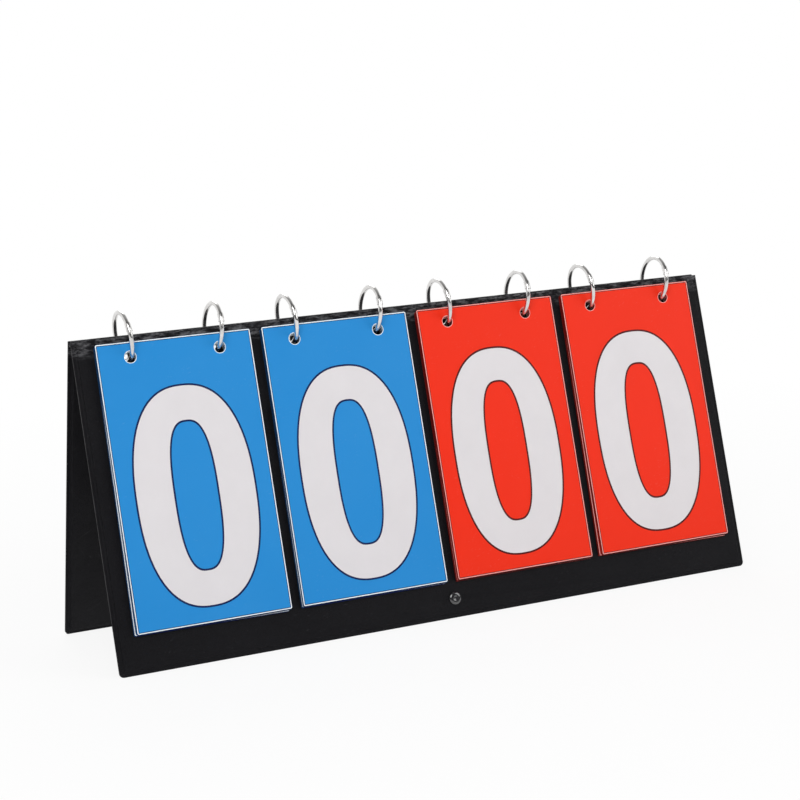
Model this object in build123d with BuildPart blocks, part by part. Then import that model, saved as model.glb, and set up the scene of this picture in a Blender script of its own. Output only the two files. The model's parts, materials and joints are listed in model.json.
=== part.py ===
"""Tabletop flip scoreboard: a folding vinyl easel with four stacks of number cards on split rings.

Frame: origin on the table under the ridge, X along the board, Y to the back, Z up, millimetres.
A leaf is measured from the fold axis: "down" is the distance down its slope, and "depth" is the
distance outward, square to it. side is +1 for the front leaf and -1 for the back one.
"""
from build123d import *
from math import cos, degrees, radians, sin, sqrt
import os

# ---- the stand -------------------------------------------------------------------------------
lean = 15.0                 # each leaf from upright, degrees
board_end = 10.25           # outermost cards to the end of the board
core_thickness = 1.6        # stiff board inside a leaf
vinyl_thickness = 0.4       # one sheet of the cover
weld_depth = 1.8            # fold axis to the plane in which the two sheets meet
weld_border = 3.0           # flat welded strip outside the core
fold_strip = 3.5            # flat welded strip between the fold axis and the core
corner_radius = 2.5         # lower corners of a leaf
core_corner_radius = 2.0
panel_round = 0.5           # outer edge of the raised panel

# ---- number cards ----------------------------------------------------------------------------
stack_names = ["blue_tens", "blue_ones", "red_tens", "red_ones"]
cards_in_stack = 10
stacks_apart = 6.5          # one stack's cards to the next stack's
stack_shift = 0.9           # the row of stacks, off the board's centre
stack_swing = [-0.45, -0.15, -0.12, -0.5]   # how far each stack's rear cards hang askew, degrees
first_askew = 5             # the cards from this number back hang askew, together
card_width = 85.0
card_height = 148.5
card_thickness = 0.25
card_air = 0.05             # one card to the next
card_gap = 0.175            # front leaf to the last card
card_corner_radius = 1.0
card_tab = 8.0              # a card's holes to its top edge
hole_diameter = 6.0         # in the cards
leaf_hole_diameter = 7.0    # in both leaves, room for a ring that drops right over
hole_spacing = 49.0         # the two holes of a stack

# ---- split rings -----------------------------------------------------------------------------
ring_radius = 12.8          # to the middle of the wire
ring_wire = 2.5
ring_tilt = 5.0             # outward lean at rest, degrees
ring_tilt_drop = 2.0        # the tilt turns about a line this far below the fold axis
knuckle_angle = -40.0       # hinge of a ring, from straight back, degrees; its catch is opposite
knuckle_radius = 2.1
knuckle_pin = 1.3
knuckle_clearance = 0.05
pin_head_diameter = 2.1
pin_head_height = 0.3
catch_diameter = 3.1
catch_half_length = 2.2     # catch sleeve, each way from the joint of the two hoops
catch_tip_diameter = 1.6
catch_clearance = 0.05

# ---- brace strap -----------------------------------------------------------------------------
strap_x = 1.9               # off the board's centre
strap_width = 18.0
strap_thickness = 0.8
strap_height = 3.2          # middle of its level run above the table
strap_bend = 1.6            # bend radius at each foot, to the middle of the strap
strap_tab = 7.5             # strap above its rivet
rivet_to_edge = 10.5        # rivet to the lower edge of its leaf
rivet_to_card = 4.85        # rivet head to the last card's lower edge
rivet_head_diameter = 7.2
rivet_head_height = 1.1
rivet_head_round = 0.8
rivet_shank_diameter = 3.2
rivet_clearance = 0.1
rivet_tail_diameter = 4.8
rivet_tail_height = 0.5
washer_diameter = 7.0
washer_thickness = 0.5

# ---- worked out from the above ---------------------------------------------------------------
slope_sin, slope_cos = sin(radians(lean)), cos(radians(lean))
core_half = core_thickness / 2
flange_outer = weld_depth + vinyl_thickness
flange_inner = weld_depth - vinyl_thickness
face_outer = weld_depth + core_half + vinyl_thickness
face_inner = weld_depth - core_half - vinyl_thickness
card_pitch = card_thickness + card_air
last_card_depth = face_outer + card_gap + card_thickness / 2
last_card_foot = sqrt(ring_radius**2 - last_card_depth**2) - card_tab + card_height
rivet_down = last_card_foot + rivet_to_card + rivet_head_diameter / 2
leaf_length = rivet_down + rivet_to_edge
pivot_height = leaf_length * slope_cos - flange_outer * slope_sin
stack_pitch = card_width + stacks_apart
board_width = stack_pitch * (len(stack_names) - 1) + card_width + 2 * board_end
core_width = board_width - 2 * weld_border
core_length = leaf_length - fold_strip - weld_border
fold_axis = Vector(0, 0, pivot_height)
middle_stack = (len(stack_names) - 1) / 2
stack_x = [stack_shift + stack_pitch * (n - middle_stack) for n in range(len(stack_names))]
ring_x = [x + hand * hole_spacing / 2 for x in stack_x for hand in (-1, 1)]
rivet_hole_radius = rivet_shank_diameter / 2 + rivet_clearance
wire_half = ring_wire / 2
strap_depth = face_inner - strap_thickness / 2
strap_foot_down = (pivot_height - strap_height + strap_depth * slope_sin) / slope_cos
under_strap = face_inner - strap_thickness
under_washer = under_strap - washer_thickness


def outward(side: int) -> Vector:
    """The direction square to a leaf, away from the inside of the stand."""
    return Vector(0, -side * slope_cos, slope_sin)


def leaf_plane(side: int, depth: float) -> Plane:
    """The plane of a leaf at a depth. Its y runs up the slope, and its origin lies on the fold axis."""
    return Plane(fold_axis + outward(side) * depth, x_dir=(side, 0, 0), z_dir=outward(side))


def down_to_hole(depth: float) -> float:
    """How far down the slope a ring crosses the plane at a depth."""
    return sqrt(ring_radius**2 - depth**2)


def leaf_holes(side: int) -> Sketch:
    """The ring holes and the strap rivet's hole of a leaf, drawn on the plane in which it is welded."""
    with BuildSketch(leaf_plane(side, weld_depth)) as holes:
        with Locations([(side * x, -down_to_hole(weld_depth)) for x in ring_x]):
            Circle(leaf_hole_diameter / 2)
        with Locations((side * strap_x, -rivet_down)):
            Circle(rivet_hole_radius)
    return holes.sketch


def strap_point(side: int, down: float) -> tuple:
    """A point of the strap's middle line in the YZ plane, on the inside of a leaf."""
    y = -side * (down * slope_sin + strap_depth * slope_cos)
    return (y, pivot_height - down * slope_cos + strap_depth * slope_sin)


def write(piece: BuildPart, name: str) -> None:
    """Label a finished piece and write its STEP file."""
    piece.part.label = name
    export_step(piece.part, f"parts/{name}.step")


def vinyl_sheet(side: int, facing: int) -> BuildPart:
    """One sheet of a leaf's cover, pressed up over its half of the core. facing is +1 for the outer one."""
    panel_width = core_width + 2 * vinyl_thickness
    panel_length = core_length + 2 * vinyl_thickness
    panel_middle = -fold_strip - core_length / 2
    with BuildPart() as sheet:
        with BuildSketch(leaf_plane(side, weld_depth)):
            with Locations((0, -leaf_length / 2)):
                Rectangle(board_width, leaf_length)
        extrude(amount=facing * vinyl_thickness)
        upright = sheet.edges().filter_by(Axis((0, 0, 0), outward(side)))
        fillet(upright.group_by(Axis.Z)[0], corner_radius)
        with BuildSketch(leaf_plane(side, weld_depth)):
            with Locations((0, panel_middle)):
                RectangleRounded(panel_width, panel_length, core_corner_radius + vinyl_thickness)
        extrude(amount=facing * (core_half + vinyl_thickness))
        top = sheet.faces().sort_by(Axis((0, 0, 0), outward(side) * facing))[-1]
        fillet(top.edges(), min(panel_round, 0.8 * core_half))
        with BuildSketch(leaf_plane(side, weld_depth)):
            with Locations((0, panel_middle)):
                RectangleRounded(core_width, core_length, core_corner_radius)
        extrude(amount=facing * core_half, mode=Mode.SUBTRACT)
        extrude(leaf_holes(side), amount=core_thickness, both=True, mode=Mode.SUBTRACT)
        split(bisect_by=Plane.XY, keep=Keep.TOP)
    return sheet


def core_board(side: int) -> BuildPart:
    """The stiff board inside a leaf."""
    with BuildPart() as board:
        with BuildSketch(leaf_plane(side, weld_depth)):
            with Locations((0, -fold_strip - core_length / 2)):
                RectangleRounded(core_width, core_length, core_corner_radius)
        extrude(amount=core_half, both=True)
        extrude(leaf_holes(side), amount=core_thickness, both=True, mode=Mode.SUBTRACT)
    return board


def number_card(centre_x: float, number: int, rear_swing: float) -> BuildPart:
    """One card of a stack. Number 0 hangs in front, and the last one next to the leaf."""
    places_back = cards_in_stack - 1 - number
    depth = last_card_depth + card_pitch * places_back
    leaf = leaf_plane(1, depth)
    between_holes = leaf.from_local_coords(Vector(centre_x, -down_to_hole(depth)))
    swing = rear_swing if number >= first_askew else 0.0
    along_holes = leaf.x_dir.rotate(Axis((0, 0, 0), leaf.z_dir), swing)
    hung = Plane(between_holes, x_dir=along_holes, z_dir=leaf.z_dir)
    with BuildPart() as card:
        with BuildSketch(hung):
            with Locations((0, card_tab - card_height / 2)):
                RectangleRounded(card_width, card_height, card_corner_radius)
            with GridLocations(hole_spacing, 0, 2, 1):
                Circle(hole_diameter / 2, mode=Mode.SUBTRACT)
        extrude(amount=card_thickness / 2, both=True)
    return card


def ring_plane(x: float, hand: int) -> Plane:
    """The plane of a ring: x to the back and y up along its lean. hand is +1 for a right-hand ring."""
    across = ring_tilt_drop * sin(radians(ring_tilt))
    slide_up = ring_tilt_drop * (cos(radians(ring_tilt)) - 1)
    centre = fold_axis + Vector(x + hand * across, 0, slide_up)
    axis = Vector(cos(radians(ring_tilt)), 0, -hand * sin(radians(ring_tilt)))
    return Plane(centre, x_dir=(0, 1, 0), z_dir=axis)


def spoke_plane(ring: Plane, angle: float) -> Plane:
    """The plane square to a ring's wire at an angle, with its origin in the ring's middle and x outward."""
    spoke = ring.x_dir.rotate(Axis((0, 0, 0), ring.z_dir), angle)
    return Plane(ring.origin, x_dir=spoke, z_dir=ring.z_dir.cross(spoke))


def hoop(ring: Plane, start: float, span: float, diameter: float, mode: Mode = Mode.ADD) -> None:
    """Add or cut a stretch of round wire along a ring, from one angle through a span, in degrees."""
    with BuildSketch(spoke_plane(ring, start)) as section:
        with Locations((ring_radius, 0)):
            Circle(diameter / 2)
    revolve(section.sketch, axis=Axis(ring.origin, ring.z_dir), revolution_arc=span, mode=mode)


def knuckle_eye(eye: Plane, radius: float, above: float, below: float, mode: Mode = Mode.ADD) -> None:
    """Add or cut a disc about a ring's hinge, from one height above the ring's plane to another."""
    with BuildSketch(eye.offset(below)) as disc:
        Circle(radius)
    extrude(disc.sketch, amount=above - below, dir=eye.z_dir, mode=mode)


def half_hoop(ring: Plane, eye: Plane, half: int) -> Part:
    """One half of a ring. half is +1 for the one with the catch's tip, -1 for the one with its sleeve."""
    catch_angle = knuckle_angle + 180
    gap_span = degrees(catch_clearance / ring_radius)
    sleeve_span = degrees(catch_half_length / ring_radius)
    neck_span = degrees(2 * knuckle_radius / ring_radius)
    clear_radius = knuckle_radius + knuckle_clearance
    with BuildPart() as hoop_half:
        hoop(ring, knuckle_angle if half > 0 else catch_angle, 180, ring_wire)
        knuckle_eye(eye, clear_radius, wire_half, -wire_half, Mode.SUBTRACT)
        # half the wire's thickness is left at the hinge: an eye, and the neck that joins it to the hoop
        knuckle_eye(eye, knuckle_radius, wire_half, -wire_half)
        hoop(ring, knuckle_angle if half > 0 else knuckle_angle - neck_span, neck_span, ring_wire)
        low, high = sorted((half * knuckle_clearance, -half * ring_wire))
        knuckle_eye(eye, clear_radius, high, low, Mode.SUBTRACT)
        knuckle_eye(eye, knuckle_pin / 2 + knuckle_clearance, wire_half, -wire_half, Mode.SUBTRACT)
        if half > 0:
            hoop(ring, catch_angle - gap_span, sleeve_span, catch_tip_diameter)
        else:
            hoop(ring, catch_angle + gap_span, 2 * sleeve_span, catch_diameter)
            bore_diameter = catch_tip_diameter + 2 * catch_clearance
            hoop(ring, catch_angle - gap_span, gap_span + sleeve_span, bore_diameter, Mode.SUBTRACT)
            hoop(ring, catch_angle - gap_span, 2 * gap_span, catch_diameter, Mode.SUBTRACT)
    return hoop_half.part


def hinge_pin(eye: Plane) -> Part:
    """The pin of a ring's hinge, with a head at each end."""
    head_under = wire_half + knuckle_clearance
    head_top = head_under + pin_head_height
    with BuildPart() as pin:
        knuckle_eye(eye, knuckle_pin / 2, head_top, -head_top)
        knuckle_eye(eye, pin_head_diameter / 2, head_top, head_under)
        knuckle_eye(eye, pin_head_diameter / 2, -head_under, -head_top)
    return pin.part


def split_ring(x: float, hand: int) -> BuildPart:
    """A hinged ring: two half hoops that meet in a catch, and the pin of their hinge."""
    ring = ring_plane(x, hand)
    hinge = ring.origin + spoke_plane(ring, knuckle_angle).x_dir * ring_radius
    eye = Plane(hinge, x_dir=ring.x_dir, z_dir=ring.z_dir)
    with BuildPart() as whole_ring:
        add(half_hoop(ring, eye, 1))
        add(half_hoop(ring, eye, -1))
        add(hinge_pin(eye))
    return whole_ring


os.makedirs("parts", exist_ok=True)

# ---- the two leaves --------------------------------------------------------------------------
for leaf_name, side in (("front", 1), ("back", -1)):
    write(core_board(side), f"{leaf_name}_core_board")
    write(vinyl_sheet(side, 1), f"{leaf_name}_outer_vinyl")
    write(vinyl_sheet(side, -1), f"{leaf_name}_inner_vinyl")

# ---- the ridge: the welded cover carries on from one leaf to the other in a soft arch ---------
with BuildPart() as ridge_fold:
    with BuildSketch(Plane.YZ.offset(-board_width / 2)):
        with BuildLine():
            top = CenterArc((0, pivot_height), flange_outer, lean, 180 - 2 * lean)
            under = CenterArc((0, pivot_height), flange_inner, lean, 180 - 2 * lean)
            Line(top @ 0, under @ 0)
            Line(top @ 1, under @ 1)
        make_face()
    extrude(amount=board_width)
write(ridge_fold, "ridge_fold")

# ---- the brace strap and its rivets ----------------------------------------------------------
with BuildPart() as brace_strap:
    with BuildLine(Plane.YZ.offset(strap_x)) as strap_run:
        FilletPolyline(
            strap_point(1, rivet_down - strap_tab),
            strap_point(1, strap_foot_down),
            strap_point(-1, strap_foot_down),
            strap_point(-1, rivet_down - strap_tab),
            radius=strap_bend,
        )
    with BuildSketch(Plane(strap_run.line @ 0, x_dir=(1, 0, 0), z_dir=strap_run.line % 0)):
        Rectangle(strap_width, strap_thickness)
    sweep()
    for side in (1, -1):
        with BuildSketch(leaf_plane(side, face_inner)):
            with Locations((side * strap_x, -rivet_down)):
                Circle(rivet_hole_radius)
        extrude(amount=-2 * strap_thickness, mode=Mode.SUBTRACT)
write(brace_strap, "brace_strap")

for leaf_name, side in (("front", 1), ("back", -1)):
    with BuildPart() as washer:
        with BuildSketch(leaf_plane(side, under_strap)):
            with Locations((side * strap_x, -rivet_down)):
                Circle(washer_diameter / 2)
                Circle(rivet_hole_radius, mode=Mode.SUBTRACT)
        extrude(amount=-washer_thickness)
    write(washer, f"{leaf_name}_rivet_washer")
    with BuildPart() as rivet:
        with BuildSketch(leaf_plane(side, face_outer)):
            with Locations((side * strap_x, -rivet_down)):
                Circle(rivet_head_diameter / 2)
        extrude(amount=rivet_head_height)
        head_top = rivet.faces().sort_by(Axis((0, 0, 0), outward(side)))[-1]
        fillet(head_top.edges(), min(rivet_head_round, 0.9 * rivet_head_height))
        with BuildSketch(leaf_plane(side, face_outer)):
            with Locations((side * strap_x, -rivet_down)):
                Circle(rivet_shank_diameter / 2)
        extrude(amount=under_washer - face_outer)
        with BuildSketch(leaf_plane(side, under_washer)):
            with Locations((side * strap_x, -rivet_down)):
                Circle(rivet_tail_diameter / 2)
        extrude(amount=-rivet_tail_height)
    write(rivet, f"{leaf_name}_strap_rivet")

# ---- the number cards and their rings --------------------------------------------------------
for stack_name, centre_x, rear_swing in zip(stack_names, stack_x, stack_swing):
    for number in range(cards_in_stack):
        write(number_card(centre_x, number, rear_swing), f"{stack_name}_card_{number}")
    for hand, hand_name in ((-1, "left"), (1, "right")):
        ring = split_ring(centre_x + hand * hole_spacing / 2, hand)
        write(ring, f"{stack_name}_ring_{hand_name}")
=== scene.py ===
"""Tabletop flip scoreboard: its covers, strap, rivets, printed numbers and finishes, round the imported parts.

The part's frame has X along the board, Y to the back and Z up. Shapes are modelled in millimetres,
each in its own sub-assembly's frame, and then settled into the part, which is in metres. A leaf's own
frame has x along the board, y up its slope from the fold axis, and z outward.
"""

import json
import logging
from collections.abc import Callable, Iterable, Iterator, Sequence
from contextlib import contextmanager
from dataclasses import dataclass, field
from enum import Enum
from functools import reduce
from math import cos, exp, pi, radians, sin, sqrt

import bmesh
import bpy
from mathutils import Matrix, Vector

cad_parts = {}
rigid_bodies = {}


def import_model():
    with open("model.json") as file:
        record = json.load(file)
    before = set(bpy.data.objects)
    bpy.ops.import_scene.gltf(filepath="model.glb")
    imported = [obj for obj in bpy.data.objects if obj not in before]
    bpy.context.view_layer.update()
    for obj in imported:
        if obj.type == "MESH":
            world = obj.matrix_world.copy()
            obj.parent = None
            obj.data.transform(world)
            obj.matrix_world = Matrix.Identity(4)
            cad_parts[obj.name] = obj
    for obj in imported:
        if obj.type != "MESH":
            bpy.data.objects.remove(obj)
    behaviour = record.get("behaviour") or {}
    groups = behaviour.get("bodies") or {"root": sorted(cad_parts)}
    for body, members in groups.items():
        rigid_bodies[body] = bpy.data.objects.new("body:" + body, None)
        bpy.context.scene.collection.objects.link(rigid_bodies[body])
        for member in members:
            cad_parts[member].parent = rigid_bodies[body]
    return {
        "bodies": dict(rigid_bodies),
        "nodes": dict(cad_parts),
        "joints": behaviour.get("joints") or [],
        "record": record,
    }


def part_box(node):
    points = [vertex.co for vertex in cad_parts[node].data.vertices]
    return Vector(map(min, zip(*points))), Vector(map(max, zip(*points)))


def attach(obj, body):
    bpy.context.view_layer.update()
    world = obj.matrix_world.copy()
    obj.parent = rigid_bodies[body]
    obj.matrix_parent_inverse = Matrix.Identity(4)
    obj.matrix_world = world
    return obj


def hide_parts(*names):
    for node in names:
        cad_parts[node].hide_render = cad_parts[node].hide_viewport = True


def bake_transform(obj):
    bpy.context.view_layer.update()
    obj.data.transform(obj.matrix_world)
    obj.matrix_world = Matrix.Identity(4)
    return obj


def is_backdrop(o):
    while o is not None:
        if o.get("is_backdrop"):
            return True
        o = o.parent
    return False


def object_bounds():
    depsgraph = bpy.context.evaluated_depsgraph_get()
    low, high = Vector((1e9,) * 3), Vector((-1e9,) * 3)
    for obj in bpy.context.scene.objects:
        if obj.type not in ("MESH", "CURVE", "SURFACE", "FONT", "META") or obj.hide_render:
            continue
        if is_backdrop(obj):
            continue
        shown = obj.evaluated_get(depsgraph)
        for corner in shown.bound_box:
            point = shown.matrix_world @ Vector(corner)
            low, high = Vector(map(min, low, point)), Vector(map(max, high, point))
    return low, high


MM = 0.001                      # a millimetre in the part's metres
LEAN = radians(15)              # each leaf from upright
WELD_DEPTH = 1.8                # fold axis to the plane in which a leaf's two sheets meet
SHEET = 0.4                     # one sheet of vinyl
CORE_HALF = 0.8                 # half the board inside a leaf
FACE_OUTER = WELD_DEPTH + CORE_HALF + SHEET
FACE_INNER = WELD_DEPTH - CORE_HALF - SHEET
RING_RADIUS = 12.8              # fold axis to the middle of a ring's wire
HOLE_RADIUS = 3.0               # punched in a card for its rings
LEAF_HOLE_RADIUS = 3.5          # punched in a leaf, with room for a ring that drops right over
HOLE_SPACING = 49.0             # the two holes of a stack
STRAP_THICKNESS = 0.8
WASHER_THICKNESS = 0.5
PUNCH_LENGTH = 8.0              # longer than any wall is thick
TINY = 0.001

STACK_NAMES = ("blue_tens", "blue_ones", "red_tens", "red_ones")
STACK_SWINGS = (-0.45, -0.15, -0.12, -0.5)      # how far each stack's rear cards hang askew, degrees

Colour = tuple[float, float, float, float]
Value = float | Sequence[float] | bpy.types.NodeSocket

log = logging.getLogger("scoreboard")


class Team(Enum):
    """The two sides that keep score."""

    BLUE = "blue"
    RED = "red"


class Facing(Enum):
    """Which of a leaf's two sheets, and which way its outside looks in the leaf's own frame."""

    OUTER = 1
    INNER = -1


class Side(Enum):
    """Which leaf of the stand."""

    FRONT = 1
    BACK = -1

    @property
    def label(self) -> str:
        """The leaf's word in the names of its pieces."""
        return self.name.lower()

    @property
    def body(self) -> str:
        """The body that the leaf is."""
        return f"{self.label}_leaf"


# ---- hand tools: selecting, cutting and placing ---------------------------------------------------


def deselect_all() -> None:
    """Leave no object selected and none active."""
    for chosen in list(bpy.context.selected_objects):
        chosen.select_set(False)
    bpy.context.view_layer.objects.active = None


def choose(*objects: bpy.types.Object) -> None:
    """Select these objects alone, the first of them active.

    Args:
        objects: what the next operator acts on.
    """
    deselect_all()
    for item in objects:
        item.select_set(True)
    bpy.context.view_layer.objects.active = objects[0]


@contextmanager
def edit_mode(obj: bpy.types.Object) -> Iterator[None]:
    """Hold one object in edit mode for a while, with nothing of its mesh selected at first.

    Args:
        obj: the object to edit.
    """
    choose(obj)
    bpy.ops.object.mode_set(mode="EDIT")
    bpy.ops.mesh.select_all(action="DESELECT")
    try:
        yield
    finally:
        bpy.ops.object.mode_set(mode="OBJECT")


def pick(kind: str, suits: Callable[[bmesh.types.BMFace | bmesh.types.BMEdge], bool]) -> None:
    """Select the faces or the edges of the edited mesh that suit, and nothing else.

    Args:
        kind: FACE or EDGE.
        suits: says yes to a face or an edge.
    """
    bpy.ops.mesh.select_mode(type=kind)
    data = bpy.context.edit_object.data
    mesh = bmesh.from_edit_mesh(data)
    for item in mesh.faces if kind == "FACE" else mesh.edges:
        item.select_set(suits(item))
    mesh.select_flush_mode()
    bmesh.update_edit_mesh(data)


def pick_faces(where: Callable[[Vector, Vector], bool]) -> None:
    """Select the edited mesh's faces whose middle and normal suit."""
    pick("FACE", lambda face: where(face.calc_center_bounds(), face.normal))


def pick_edges(where: Callable[[Vector, Vector], bool]) -> None:
    """Select the edited mesh's edges whose two ends suit."""
    pick("EDGE", lambda edge: where(edge.verts[0].co, edge.verts[1].co))


def spin_shell(steps: int, angle: float, axis: Sequence[float]) -> None:
    """Spin all of the edited mesh about an axis through the origin, and close and face its skin outwards.

    Args:
        steps: how many faces go round.
        angle: how far it turns, in radians.
        axis: the way the axis points.
    """
    bpy.ops.mesh.select_all(action="SELECT")
    bpy.ops.mesh.spin(steps=steps, angle=angle, center=(0, 0, 0), axis=axis)
    bpy.ops.mesh.select_all(action="SELECT")
    bpy.ops.mesh.remove_doubles(threshold=TINY)
    bpy.ops.mesh.normals_make_consistent(inside=False)


def apply_modifiers(obj: bpy.types.Object) -> None:
    """Apply all of an object's modifiers, in order.

    Args:
        obj: the object whose modifiers become its mesh.
    """
    choose(obj)
    for modifier in list(obj.modifiers):
        bpy.ops.object.modifier_apply(modifier=modifier.name)


def combine(obj: bpy.types.Object, tool: bpy.types.Object, operation: str) -> None:
    """Join a tool's solid to an object, cut it away, or keep what they share, and throw the tool away.

    Args:
        obj: the solid that is changed.
        tool: the solid that changes it.
        operation: UNION, DIFFERENCE or INTERSECT.
    """
    modifier = obj.modifiers.new("cut", "BOOLEAN")
    modifier.object = tool
    modifier.operation = operation
    modifier.solver = "EXACT"
    apply_modifiers(obj)
    throw_away(tool)


def duplicate(obj: bpy.types.Object, name: str) -> bpy.types.Object:
    """Copy an object with a mesh of its own.

    Args:
        obj: what is copied.
        name: what the copy is called.

    Returns:
        The copy.
    """
    copy = obj.copy()
    copy.data = obj.data.copy()
    copy.name = name
    bpy.context.scene.collection.objects.link(copy)
    return copy


def throw_away(*objects: bpy.types.Object) -> None:
    """Remove objects that were only needed for a while."""
    for item in objects:
        bpy.data.objects.remove(item)


def add_object(name: str, data: bpy.types.ID) -> bpy.types.Object:
    """Put a mesh, a lamp or a camera into the scene.

    Args:
        name: what the object is called.
        data: the mesh, lamp or camera.

    Returns:
        The object that holds it.
    """
    made = bpy.data.objects.new(name, data)
    bpy.context.scene.collection.objects.link(made)
    return made


def freeze(obj: bpy.types.Object) -> bpy.types.Object:
    """Apply an object's place, turn and scale to its mesh.

    Args:
        obj: the object to freeze.

    Returns:
        The same object, at the origin.
    """
    choose(obj)
    bpy.ops.object.transform_apply(location=True, rotation=True, scale=True)
    return obj


def carry(obj: bpy.types.Object, place: Matrix) -> bpy.types.Object:
    """Move a mesh made in a sub-assembly's own frame to where it belongs.

    Args:
        obj: the object, whose mesh is moved.
        place: the sub-assembly's frame in the part's frame.

    Returns:
        The same object.
    """
    obj.data.transform(place)
    obj.data.update()
    return obj


def settle(obj: bpy.types.Object, place: Matrix) -> bpy.types.Object:
    """Set a piece modelled in millimetres, in the frame that place gives, into the part in metres."""
    return carry(obj, Matrix.Scale(MM, 4) @ place)


def smooth(obj: bpy.types.Object, angle: float) -> None:
    """Shade a mesh smooth, apart from its edges sharper than an angle in degrees."""
    choose(obj)
    bpy.ops.object.shade_smooth_by_angle(angle=radians(angle))


def block(name: str, middle: Sequence[float], size: Sequence[float]) -> bpy.types.Object:
    """A box of a real size, ready to be shaped.

    Args:
        name: what the object is called.
        middle: its middle.
        size: its whole length along each axis.

    Returns:
        The box, with its place and size in its mesh.
    """
    deselect_all()
    bpy.ops.mesh.primitive_cube_add(size=1, location=middle, scale=size)
    made = bpy.context.object
    made.name = name
    return freeze(made)


def rod(
    name: str, middle: Sequence[float], radius: float, length: float, sides: int = 48
) -> bpy.types.Object:
    """A round bar along z.

    Args:
        name: what the object is called.
        middle: its middle.
        radius: its radius.
        length: its whole length.
        sides: how many faces go round it.

    Returns:
        The bar, with its place in its mesh.
    """
    deselect_all()
    bpy.ops.mesh.primitive_cylinder_add(vertices=sides, radius=radius, depth=length, location=middle)
    made = bpy.context.object
    made.name = name
    return freeze(made)


def dress(obj: bpy.types.Object, *materials: bpy.types.Material) -> None:
    """Give an object its materials, in the order of its slots.

    Args:
        obj: the object to dress.
        materials: what its slots hold.
    """
    obj.data.materials.clear()
    for material in materials:
        obj.data.materials.append(material)


# ---- where things are -----------------------------------------------------------------------------


@dataclass(frozen=True)
class Stand:
    """The stand's own measures in millimetres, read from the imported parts."""

    fold: Vector                # the fold axis, in the middle of the board
    half_width: float
    leaf_length: float          # down the slope
    ring_x: tuple[float, ...]   # where the rings pass through the leaves
    rivet_x: float
    rivet_down: float

    @classmethod
    def read(cls, packed: dict) -> "Stand":
        """Read the measures.


        Returns:
            The stand's measures.
        """
        hinge = next(joint for joint in packed["joints"] if joint["name"] == "back_leaf_fold")
        fold = Vector(hinge["pos_m"]) / MM
        low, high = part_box("front_outer_vinyl")
        washer_low, washer_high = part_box("front_rivet_washer")
        washer = (washer_low + washer_high) / 2 / MM - fold
        stacks = [stack_middle(name) for name in STACK_NAMES]
        return cls(
            fold=fold,
            half_width=(high.x - low.x) / 2 / MM,
            leaf_length=(fold.z + (WELD_DEPTH + SHEET) * sin(LEAN)) / cos(LEAN),
            ring_x=tuple(x + hand * HOLE_SPACING / 2 for x in stacks for hand in (-1, 1)),
            rivet_x=washer.x,
            rivet_down=-(washer.y * sin(LEAN) + washer.z * cos(LEAN)),
        )

    def leaf_frame(self, side: Side) -> Matrix:
        """A leaf's own frame in the part's frame.

        Args:
            side: which leaf.

        Returns:
            The matrix that takes leaf coordinates to the part's.
        """
        outward = Vector((0, -side.value * cos(LEAN), sin(LEAN)))
        along = Vector((side.value, 0, 0))
        turn = Matrix((along, outward.cross(along), outward)).transposed()
        return Matrix.Translation(self.fold) @ turn.to_4x4()


def stack_middle(name: str) -> float:
    """The middle of a stack along X, which is that of its front card."""
    low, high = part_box(f"{name}_card_0")
    return (low.x + high.x) / 2 / MM


# ---- shader graphs --------------------------------------------------------------------------------


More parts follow.
